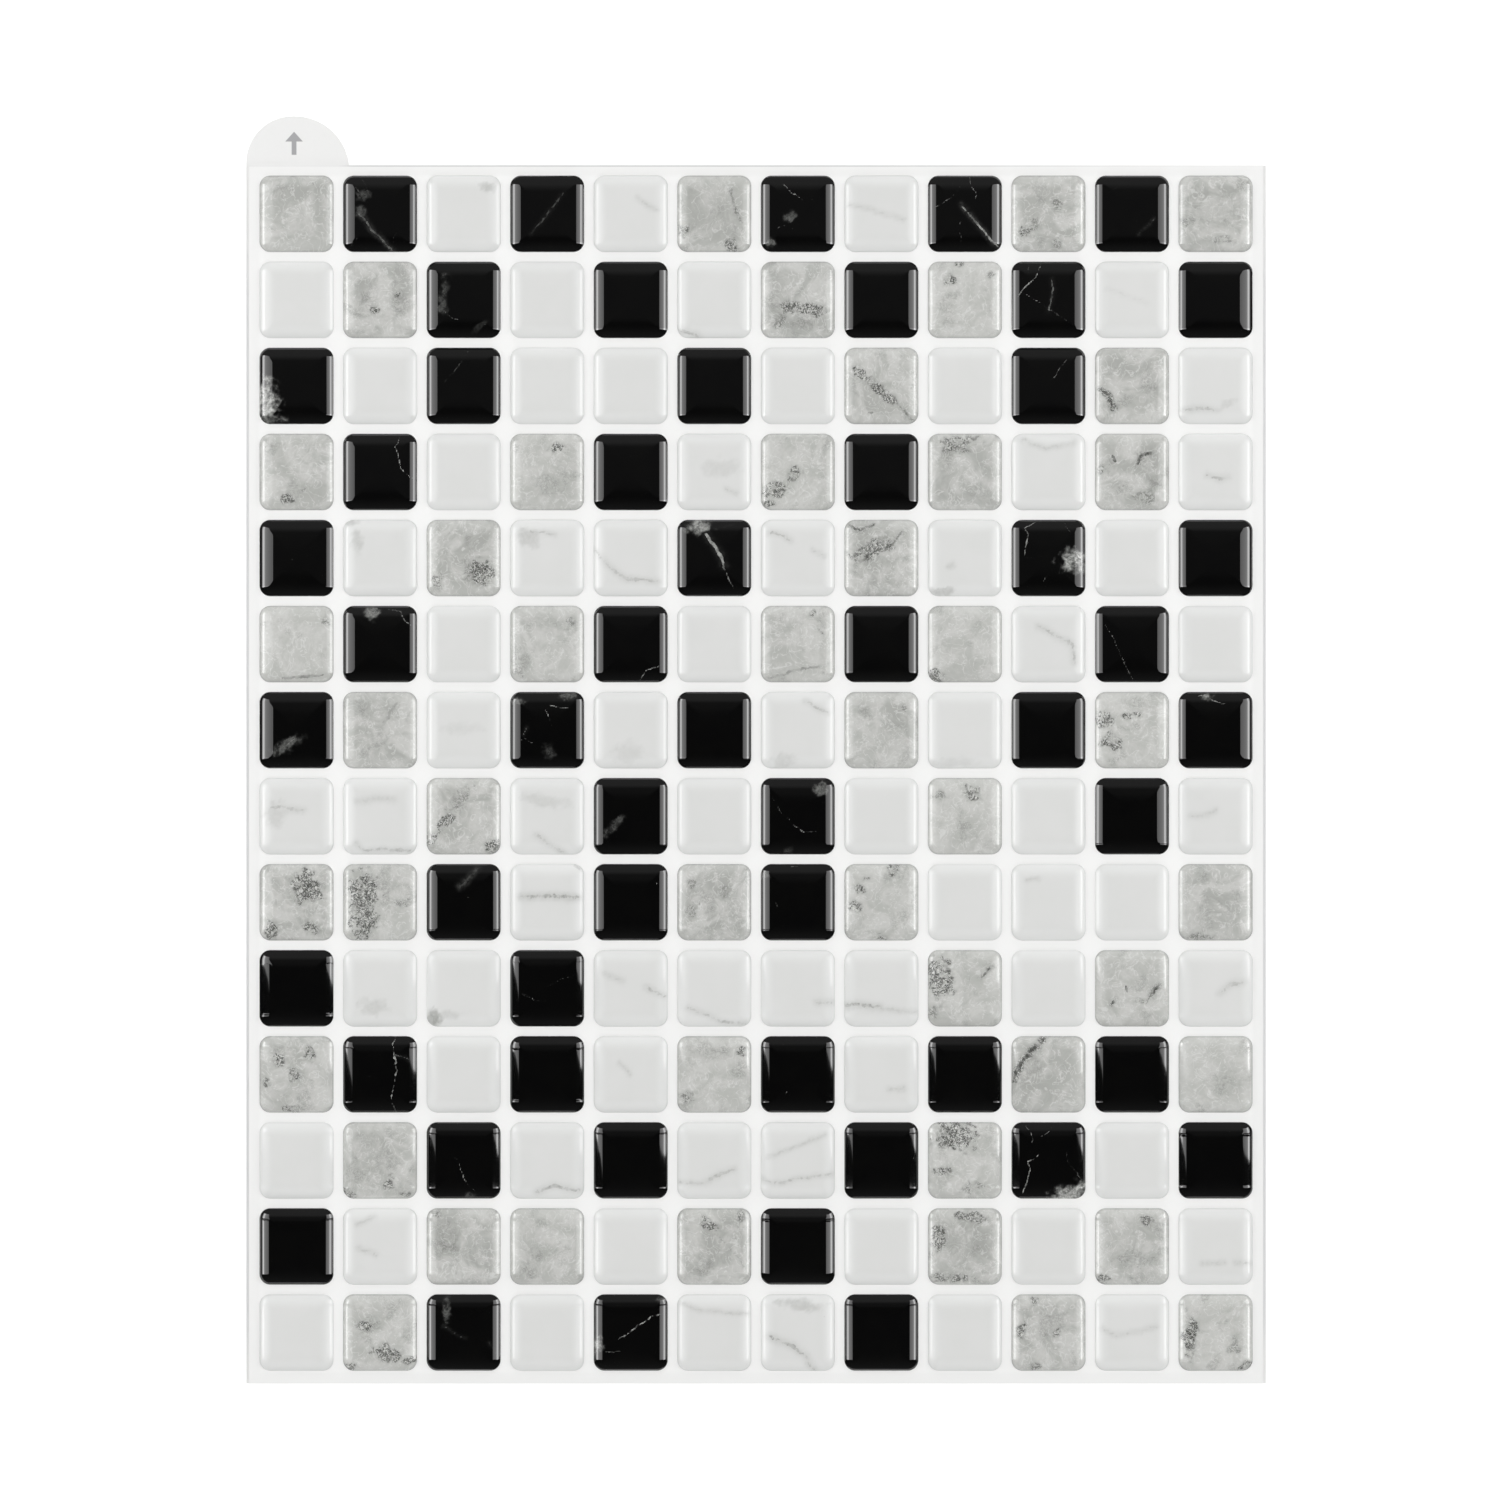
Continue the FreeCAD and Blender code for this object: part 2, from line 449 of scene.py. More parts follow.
# %% [markdown]
# ## Film and liner
# The film is white vinyl with a satin face, which shows as the grout lines. The liner is smooth
# coated paper. Their shapes are right as they come from the model, so they keep their nodes and only
# get a finish. Vinyl has a very fine grain, and paper has soft fibres, so each gets a shallow bump
# and a slight drift in its colour, too small to see as a pattern but enough to break the plain look.
# The film's bare border has no squares beside it to shade it, so it gets a touch of painted shade.
# It then looks just as light as the grout lines, as in the photograph.
#
# The peel tab carries a small grey print. A plain arrow stands in its place, pointing the way the
# tab is pulled. It is ink, so it is part of the paper's colour and not a shape.

# %% Finish the film and the liner
ARROW_PLACE = (-0.1112, 0.1546)
ARROW_LENGTH, ARROW_HEAD, ARROW_STEM = 0.0054, 0.0022, 0.0005
HEAD_SLOPE, STEM_START = 0.9, (0.001, 0.0012)
INK_EDGE = 0.00015
# On the film: where the painted shade on its border rises, counted out from its edge, where the
# thin painted shade along its top edge rises, counted in from that edge, and where that shade fades
# at its right end and at the tab.
BORDER_SHADE_RISE = (-0.0032, -0.002)
TOP_SHADE_RISE = (0.00042, 0.0003)
RIGHT_FADE, TAB_FADE = (0.01, 0.12), (-0.101, -0.096)
# On the liner: where the painted shadow beside the film's sides fades, counted in from the film's ends.
SHADOW_TOP_FADE, SHADOW_BOTTOM_FADE = (0.04, 0.002), (0.002, 0.02)


def white_vinyl():
    """Satin white vinyl: even colour, fine grain, and painted shade on its bare border and along its top
    edge.
    """
    finish = Finish("white_vinyl")
    place = finish.node("ShaderNodeTexCoord")["Object"]
    parts = finish.parts(place)
    drift = finish.noise(place, 0.035, detail=3.0)
    grain = finish.noise(place, 0.0006, detail=2.0)
    colour = finish.blend(drift, shade(236, 236, 235), shade(240, 240, 239))
    # Painted shade: the bare border beyond the squares is made a touch darker.
    past_edge = finish.maths("MAXIMUM", abs(parts["X"]) - film_high.x, abs(parts["Y"]) - film_high.y)
    colour = finish.blend(finish.band(past_edge, *BORDER_SHADE_RISE), colour, shade(234, 234, 233))
    # Painted shade: a thin darker line along the film's top edge, fading at its right end and at the tab.
    shade_start, shade_full = TOP_SHADE_RISE
    top_edge_shade = finish.band(parts["Y"], film_high.y - shade_start, film_high.y - shade_full)
    top_edge_shade = top_edge_shade * (1 - finish.band(parts["X"], *RIGHT_FADE))
    top_edge_shade = top_edge_shade * (finish.band(parts["X"], *TAB_FADE) * 0.75 + 0.25)
    colour = finish.blend(top_edge_shade, colour, shade(205))
    return finish.surface(colour, grain * 0.1 + 0.38, finish.bump(grain, 0.00002, 0.25))


def arrow_ink(finish, parts):
    """1 inside a plain arrow on the peel tab that points away from the sheet, and 0 outside it."""

    def within(value, limit):
        return 1 - finish.band(value, limit, limit + INK_EDGE)

    aside = abs(parts["X"] - ARROW_PLACE[0])
    below = ARROW_PLACE[1] - parts["Y"]
    head = within(aside - below * HEAD_SLOPE, 0.0) * within(below, ARROW_HEAD)
    stem = within(aside, ARROW_STEM) * finish.band(below, *STEM_START) * within(below, ARROW_LENGTH)
    return finish.maths("MAXIMUM", head, stem)


def release_paper():
    """Coated release paper: smooth, with faint fibres and a painted shadow beside the film's sides."""
    finish = Finish("release_paper")
    place = finish.node("ShaderNodeTexCoord")["Object"]
    parts = finish.parts(place)
    fibres = finish.noise(place, 0.0015, detail=4.0, warp=1.5)
    blotches = finish.noise(place, 0.02, detail=2.0)
    paper = finish.blend(blotches * 0.6 + fibres * 0.4, shade(226, 226, 225), shade(232, 232, 231))
    top_start, top_end = SHADOW_TOP_FADE
    bottom_start, bottom_end = SHADOW_BOTTOM_FADE
    # Painted shadow: the liner beside the film's sides is greyer, fading towards the film's ends.
    film_shadow = finish.band(abs(parts["X"]), film_high.x - 0.0001, film_high.x + 0.0001)
    film_shadow = film_shadow * (1 - finish.band(parts["Y"], film_high.y - top_start, film_high.y - top_end))
    film_shadow = film_shadow * finish.band(parts["Y"], film_low.y + bottom_start, film_low.y + bottom_end)
    colour = finish.blend(film_shadow, paper, shade(216, 216, 217))
    colour = finish.blend(arrow_ink(finish, parts) * 0.9, colour, shade(150, 150, 152))
    return finish.surface(colour, fibres * 0.15 + 0.45, finish.bump(fibres, 0.00003, 0.3))


def dress(node, material):
    """Gives a node of the model a new material."""
    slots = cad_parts[node].data.materials
    slots.clear()
    slots.append(material)


dress("backing_film", white_vinyl())
dress("release_liner", release_paper())
print("film and liner finished")

# %% [markdown]
# ## The gel squares
# Clear gel is poured on each printed square and stops at the print's edge, held back by its own
# skin. It is steepest at the rim, and its slope dies away inwards, an exponential curve. The model
# has that curve as a few flat facets. Here each square is a smooth skin instead: a square grid whose
# rings are pushed out to rounded rectangles, each ring as high as the curve says. No two pours are
# quite alike, so each square's curve, height and level vary a little.

# %% Shape one gel square
CORNER_RADIUS = 0.0026
RIM_BEVEL = 0.0004
ROLL_OFF = 0.00112
CORNER_EASE = 0.0004
TINY = 1e-9


def ring_grid(rings):
    """Which ring and which place on it each point of a square grid has, and the grid's faces."""
    steps = np.arange(-rings, rings + 1)
    across, down = np.meshgrid(steps, steps)
    across, down = across.ravel(), down.ravel()
    ring = np.maximum(abs(across), abs(down))
    on_side = abs(across) >= abs(down)
    share = np.where(on_side, down, across) / np.maximum(ring, 1)
    row = 2 * rings + 1
    first = (np.arange(row - 1)[:, None] * row + np.arange(row - 1)).ravel()
    faces = np.stack((first, first + 1, first + row + 1, first + row), axis=1)
    return across, down, ring, on_side, share, faces


def gel_points(rings, crowding, roll_off, height):
    """The points of one gel square about its own middle, their distance from its rim, and its faces.

    All is in metres. Crowding above 1 packs the rings closer at the rim, and the points closer at
    the corners. A corner's radius shrinks with each ring, and runs out by an easy curve.
    """
    across, down, ring, on_side, share, faces = ring_grid(rings)
    half_width, half_length = tile_width / 2, tile_length / 2
    inset = half_width * (1 - ring / rings) ** crowding
    reach_x, reach_y = half_width - inset, half_length - inset
    left_over = CORNER_RADIUS - inset
    radius = (left_over + np.sqrt(left_over**2 + CORNER_EASE**2)) / 2
    radius = np.minimum(radius, np.minimum(reach_x, reach_y))
    straight = np.where(on_side, reach_y, reach_x) - radius
    reach_out = np.where(on_side, reach_x, reach_y)
    walked = (1 - (1 - abs(share)) ** crowding) * (straight + radius * math.pi / 4)
    turn = np.maximum(walked - straight, 0) / np.maximum(radius, TINY)
    along = np.where(turn > 0, straight + radius * np.sin(turn), walked) * np.sign(share)
    out = reach_out - radius + radius * np.cos(turn)
    x = np.where(on_side, out * np.sign(across), along)
    y = np.where(on_side, along, out * np.sign(down))
    slope = height / (RIM_BEVEL + roll_off)
    curved = np.maximum(inset - RIM_BEVEL, 0)
    z = slope * (np.minimum(inset, RIM_BEVEL) + roll_off * (1 - np.exp(-curved / roll_off)))
    return np.stack((x, y, z), axis=1), inset, faces


sample, _, sample_faces = gel_points(20, 1.5, ROLL_OFF, gel_height)
print("one plain square:", len(sample), "points", len(sample_faces), "faces, top", sample[:, 2].max())

# %% [markdown]
# ## Printing the marble
# Each square shows its own cut of stone, and the eye finds its veins at once. A texture of pure
# noise would put veins anywhere. So the main veins and clouds are drawn one by one: short paths and
# spots in hundredths of a square, across and down from its top left corner. Two layers are kept on
# the mesh's points for the shader. One says how near the closest line is, so that the shader can cut
# a sharp edge between two points of the mesh. The other is a soft haze, for clouds and smoke.

# %% Draw marks on a square
FAR_MM = 9.0
MM = 1000
LATTICE = 64
LAYER_FALL, LAYER_SPAN = 1.8, 1.6


def lattice_noise(x, y, seed):
    """Smooth noise from -1 to 1 over x and y, with one random value per whole step."""
    values = np.random.default_rng(seed).uniform(-1, 1, (LATTICE, LATTICE))
    whole_x, whole_y = np.floor(x).astype(int), np.floor(y).astype(int)
    part_x, part_y = x - whole_x, y - whole_y
    ease_x, ease_y = part_x**2 * (3 - 2 * part_x), part_y**2 * (3 - 2 * part_y)

    def corner(step_x, step_y):
        return values[(whole_x + step_x) % LATTICE, (whole_y + step_y) % LATTICE]

    near = corner(0, 0) * (1 - ease_x) + corner(1, 0) * ease_x
    far = corner(0, 1) * (1 - ease_x) + corner(1, 1) * ease_x
    return near * (1 - ease_y) + far * ease_y


def rough_noise(x, y, seed, octaves=3):
    """Lattice noise with finer layers added, still about -1 to 1."""
    total = np.zeros_like(x)
    for layer in range(octaves):
        total += lattice_noise(x * 2**layer, y * 2**layer, seed + layer) / LAYER_FALL**layer
    return total / LAYER_SPAN


class Print:
    """What is printed on one square, at each point of its grid: lines, their strength, and haze.

    Each noise adds a number of its own to the square's seed, so that no two noises are alike.
    """

    def __init__(self, points, seed):
        self.seed = seed
        x = (points[:, 0] + tile_width / 2) * MM
        y = (tile_length / 2 - points[:, 1]) * MM
        self.x = x + self.shake(x, y, seed)
        self.y = y + self.shake(x, y, seed + 20)
        self.line = np.zeros_like(x)
        self.strength = np.zeros_like(x)
        self.haze = np.zeros_like(x)

    def shake(self, x, y, seed):
        """How far the lines stray from their paths, in mm: slow bends and quick jags."""
        return 0.35 * rough_noise(x * 0.6, y * 0.6, seed) + 0.14 * rough_noise(x * 2.4, y * 2.4, seed + 5)

    def rough(self, fineness, seed, octaves=3):
        """Rough noise over the square, with so many steps to a millimetre."""
        return rough_noise(self.x * fineness, self.y * fineness, self.seed + seed, octaves)

    def in_mm(self, hundredths):
        """Places in hundredths of the square as millimetres across and down."""
        return np.array(hundredths) / 100 * (tile_width * MM, tile_length * MM)

    def vein(self, strength, width, *path, haze=0.0, broken=0.5):
        """A line along a path, widest in its middle. Haze adds smoke beside it.

        For each point it finds how far away the path is, and how far along it the nearest place
        lies. A path of one place is a dot. The stored line is 1 at the line's edge.
        """
        corners = self.in_mm(path)
        if len(corners) == 1:
            corners = np.concatenate((corners, corners + 0.01))
        lengths = np.hypot(*np.diff(corners, axis=0).T)
        away, along, walked = np.full_like(self.x, FAR_MM), np.zeros_like(self.x), 0.0
        for corner, after, length in zip(corners, corners[1:], lengths):
            run = (after - corner) / length
            share = np.clip((self.x - corner[0]) * run[0] + (self.y - corner[1]) * run[1], 0, length)
            here = np.hypot(self.x - corner[0] - share * run[0], self.y - corner[1] - share * run[1])
            along = np.where(here < away, (walked + share) / lengths.sum(), along)
            away = np.minimum(away, here)
            walked += length
        taper = 0.45 + 0.55 * np.sqrt(np.clip(4 * along * (1 - along), 0, 1))
        breaks = np.clip(0.5 + 1.8 * self.rough(1.1, 40), 0, 1)
        line = np.maximum(1 + width * taper / 2 - away, 0)
        self.strength = np.where(line > self.line, strength * (1 - broken * (1 - breaks)), self.strength)
        self.line = np.maximum(self.line, line)
        self.haze = np.maximum(self.haze, haze * np.exp(-((away / (0.3 + 1.2 * width)) ** 2)))

    def cloud(self, strength, across, down, *centres, turn=0.0):
        """Smoky patches, so many mm wide and long, turned by some degrees."""
        angle = math.radians(turn)
        for centre in self.in_mm(centres):
            x, y = self.x - centre[0], self.y - centre[1]
            along = (x * math.cos(angle) + y * math.sin(angle)) * 2 / across
            beside = (y * math.cos(angle) - x * math.sin(angle)) * 2 / down
            torn = np.hypot(along, beside) + 0.6 * self.rough(0.6, 60)
            torn += 0.45 * self.rough(1.3, 80, octaves=2)
            self.haze = np.maximum(self.haze, strength * np.clip(1.8 - 1.1 * torn, 0, 1))

    def dots(self, strength, size, *centres):
        """Single specks."""
        for centre in centres:
            self.vein(strength, size, centre, broken=0.0)

    def draw(self, marks):
        """Draws marks one over another, each by the method of its kind."""
        for kind, numbers, settings in marks:
            getattr(self, kind)(*numbers, **settings)
        return self


def mark(kind, **usual):
    """A way to write a mark down, with the settings that it usually has, to be drawn later."""
    return lambda *numbers, **settings: (kind, numbers, {**usual, **settings})


vein, cloud, dots = mark("vein"), mark("cloud"), mark("dots")
trial = Print(sample, 1).draw([vein(0.5, 0.3, (10, 10), (90, 90))])
print("line on a plain square:", trial.line.max(), "strength", trial.strength.max())

# %% [markdown]
# ## The marks themselves
# The marks are listed by row and column from the sheet's top left corner. A vein has a strength, a
# width in mm and its path. It may be smoky, broken into dots or nearly whole. A cloud has a strength,
# its size across and down in mm, and one or more places. Strengths run from a faint 0.1 to a milky 0.9
# or more. On the black squares the marks are white.

# %% List the veins of the black squares
smoky, dotted, solid = mark("vein", haze=0.26), mark("vein", broken=0.95), mark("vein", broken=0.15)
BLACK_MARKS = {
    (1, 2): [
        vein(0.28, 0.25, (23, 2), (30, 10), (34, 20), (24, 23), (18, 16)),
        cloud(0.36, 2.6, 2.6, (27, 28), (24, 48)),
        smoky(0.34, 0.5, (22, 50), (27, 55), (38, 70), (52, 83), (68, 99)),
        vein(0.2, 0.22, (74, 74), (69, 86), (67, 97)),
        dotted(0.2, 0.2, (8, 98), (20, 82)),
    ],
    (1, 4): [vein(0.26, 0.5, (72, 23), (58, 42), (43, 62), (28, 77), haze=0.1, broken=0.9)],
    (1, 7): [
        dotted(0.5, 0.3, (25, 8), (36, 16), (40, 23), (49, 27), (56, 33)),
        dots(0.5, 0.5, (70, 32), (43, 72), (23, 70)),
        cloud(0.44, 2.2, 1.8, (38, 55), (12, 87)),
        dotted(0.35, 0.25, (23, 70), (33, 66), (43, 72)),
    ],
    (1, 9): [
        dotted(0.5, 0.3, (56, 2), (58, 16), (65, 25), (63, 33)),
        smoky(0.6, 0.55, (45, 38), (51, 46), (58, 55), (69, 68), (85, 85), (96, 94)),
        dotted(0.4, 0.25, (43, 59), (40, 70), (45, 83), (43, 96)),
        dotted(0.4, 0.25, (5, 44), (16, 39), (29, 31), (43, 16)),
    ],
    (1, 11): [
        dots(0.45, 0.35, (96, 27), (80, 57)),
        vein(0.25, 0.3, (58, 77), (68, 68), (80, 57), haze=0.14, broken=0.9),
        dotted(0.14, 0.2, (12, 27), (40, 8)),
    ],
    (2, 3): [
        cloud(0.34, 2, 4.5, (25, 35), (22, 55)),
        dotted(0.4, 0.25, (21, 62), (36, 75), (47, 78)),
        cloud(0.2, 3.6, 1.2, (72, 86), turn=-35),
        dots(0.5, 0.45, (80, 83)),
    ],
    (2, 10): [
        solid(0.62, 0.28, (40, 3), (34, 19), (23, 31), (12, 40), (7, 49)),
        vein(0.22, 0.22, (25, 3), (21, 16)),
        vein(0.5, 0.25, (12, 40), (32, 52), (52, 64), (67, 74), (83, 83), broken=0.75),
        vein(0.36, 0.55, (53, 25), (56, 38), (52, 57), (49, 66), haze=0.12, broken=0.6),
    ],
    (3, 1): [cloud(0.85, 5, 7.6, (10, 70)), cloud(0.5, 5.5, 2, (18, 93))],
    (3, 3): [vein(0.32, 0.25, (58, 4), (52, 14), (38, 32), (23, 48), broken=0.75)],
    (3, 6): [dots(0.4, 0.2, (26, 44), (69, 18))],
    (3, 10): [vein(0.36, 0.25, (80, 10), (69, 23), (58, 38), (49, 50), broken=0.8)],
    (4, 2): [solid(0.65, 0.26, (76, 4), (72, 17), (74, 29), (80, 47), (89, 55), (98, 61))],
    (5, 1): [dots(0.45, 0.3, (45, 53))],
    (5, 6): [
        cloud(0.75, 5, 2.6, (29, 9)),
        vein(0.12, 0.3, (60, 12), (76, 6)),
        vein(0.62, 0.85, (38, 19), (49, 32), (58, 45), (63, 60), haze=0.2, broken=0.3),
        vein(0.7, 0.5, (62, 57), (65, 66)),
        vein(0.45, 0.3, (65, 68), (69, 79), (76, 91), broken=0.4),
    ],
    (5, 10): [
        vein(0.6, 0.3, (32, 4), (18, 12), (23, 19), (21, 32), (16, 49), broken=0.4),
        dotted(0.3, 0.22, (16, 51), (38, 48), (58, 51)),
        cloud(0.95, 5.2, 4.2, (84, 55)),
        dotted(0.45, 0.25, (54, 66), (46, 74), (40, 83)),
        dotted(0.45, 0.25, (72, 4), (75, 12), (80, 19)),
        dots(0.45, 0.35, (42, 94)),
    ],
    (6, 2): [
        cloud(0.6, 3, 2.6, (40, 9)),
        vein(0.5, 0.3, (63, 4), (78, 8), (85, 19), (92, 27), haze=0.1, broken=0.4),
    ],
    (6, 5): [
        vein(0.6, 0.3, (63, 97), (72, 83), (85, 81), (94, 77), broken=0.8),
        dots(0.6, 0.35, (72, 83), (85, 81)),
    ],
    (6, 11): [
        vein(0.48, 0.26, (14, 25), (25, 44), (32, 62), (40, 79), (53, 98), broken=0.4),
        dots(0.4, 0.3, (76, 43)),
    ],
    (7, 1): [
        cloud(0.45, 6.5, 2.4, (40, 68), turn=-32),
        dotted(0.4, 0.3, (18, 79), (40, 68), (60, 55)),
        dots(0.5, 0.5, (94, 21)),
    ],
    (7, 4): [
        vein(0.65, 0.32, (54, 18), (67, 21), (80, 21), broken=0.8),
        vein(0.55, 0.28, (47, 23), (52, 31), (56, 38), broken=0.7),
        dots(0.5, 0.5, (47, 23), (56, 42)),
        cloud(0.32, 2.6, 3, (52, 79)),
        vein(0.6, 0.3, (12, 64), (21, 62), (32, 66), broken=0.5),
        vein(0.45, 0.3, (23, 46), (18, 55), haze=0.15),
        cloud(0.5, 2.8, 1.6, (80, 6), (10, 12)),
    ],
    (7, 12): [
        cloud(0.75, 2.4, 2, (38, 7)),
        vein(0.55, 0.26, (25, 6), (36, 3), (45, 12), (63, 16), broken=0.4),
    ],
    (8, 5): [cloud(0.34, 5, 1.6, (29, 62), turn=-45)],
    (8, 7): [
        dotted(0.5, 0.28, (16, 27), (27, 44), (36, 53), (45, 64), (58, 70), (76, 70)),
        cloud(0.5, 3, 2.6, (80, 14)),
        cloud(0.35, 1.8, 1.4, (36, 94)),
    ],
    (9, 3): [
        vein(0.2, 0.6, (69, 6), (56, 21), (45, 29), haze=0.26, broken=0.6),
        dots(0.6, 0.4, (57, 42)),
        dots(0.35, 0.35, (25, 88)),
    ],
    (9, 5): [dots(0.8, 0.35, (85, 25))],
    (9, 7): [
        cloud(0.4, 2, 2, (7, 14)),
        dots(0.62, 0.35, (52, 31), (76, 65)),
        vein(0.4, 0.28, (20, 50), (22, 58)),
        vein(0.3, 0.25, (40, 3), (50, 4)),
        dots(0.35, 0.35, (94, 66)),
    ],
    (10, 4): [
        dotted(0.5, 0.26, (10, 55), (25, 60), (36, 65), (48, 65)),
        vein(0.26, 0.2, (52, 47), (69, 38), (89, 32), broken=0.3),
    ],
    (11, 2): [
        vein(0.62, 0.3, (72, 1), (68, 12), (70, 23), (72, 42), (71, 60), broken=0.5),
        vein(0.62, 0.26, (71, 60), (65, 79), (67, 88), (72, 99), broken=0.5),
        vein(0.4, 0.26, (70, 25), (81, 27), (92, 32), haze=0.12),
        dots(0.16, 0.6, (36, 52)),
    ],
    (11, 7): [vein(0.7, 0.3, (32, 76), (36, 72)), dots(0.12, 0.5, (30, 10), (45, 6))],
    (11, 9): [dots(0.3, 0.4, (66, 34))],
    (11, 11): [dots(0.4, 0.2, (28, 26)), dots(0.2, 0.2, (33, 74))],
    (12, 3): [
        dotted(0.55, 0.26, (34, 40), (43, 50), (46, 62), (55, 78), (69, 92)),
        cloud(0.3, 3, 1.4, (60, 96)),
    ],
    (12, 5): [dots(0.3, 0.25, (84, 44))],
    (12, 8): [dots(0.55, 0.5, (94, 46))],
    (12, 10): [
        vein(0.55, 0.26, (18, 4), (25, 12), (29, 20), (27, 29), broken=0.4),
        vein(0.5, 0.22, (54, 6), (50, 12), (43, 17), (38, 18)),
        vein(0.62, 0.3, (36, 42), (29, 47), (21, 51), (25, 60), (21, 73), (14, 94)),
        vein(0.45, 0.26, (70, 32), (76, 49), (85, 64), (98, 77), broken=0.7),
        cloud(0.85, 7.4, 3.6, (80, 92), turn=-8),
    ],
    (13, 1): [dots(0.3, 0.3, (96, 40), (97, 55))],
    (13, 8): [dots(0.4, 0.2, (42, 60))],
    (14, 3): [
        cloud(0.42, 1.6, 4.6, (28, 20)),
        vein(0.26, 0.3, (23, 40), (40, 51), (52, 55), haze=0.14, broken=0.8),
        vein(0.3, 0.3, (85, 62), (96, 79), haze=0.12, broken=0.7),
    ],
    (14, 5): [
        vein(0.65, 0.32, (34, 58), (49, 49), (63, 38), (80, 27), (98, 24), broken=0.8),
        cloud(0.65, 2.6, 3.4, (5, 64)),
        vein(0.5, 0.3, (16, 73), (26, 75), (36, 73), broken=0.6),
        cloud(0.45, 2.4, 1.4, (90, 6)),
    ],
    (14, 8): [dots(0.45, 0.25, (45, 52))],
}
print(len(BLACK_MARKS), "black squares have marks")

# %% [markdown]
# On the white squares the marks are short grey brush strokes with a darker middle.

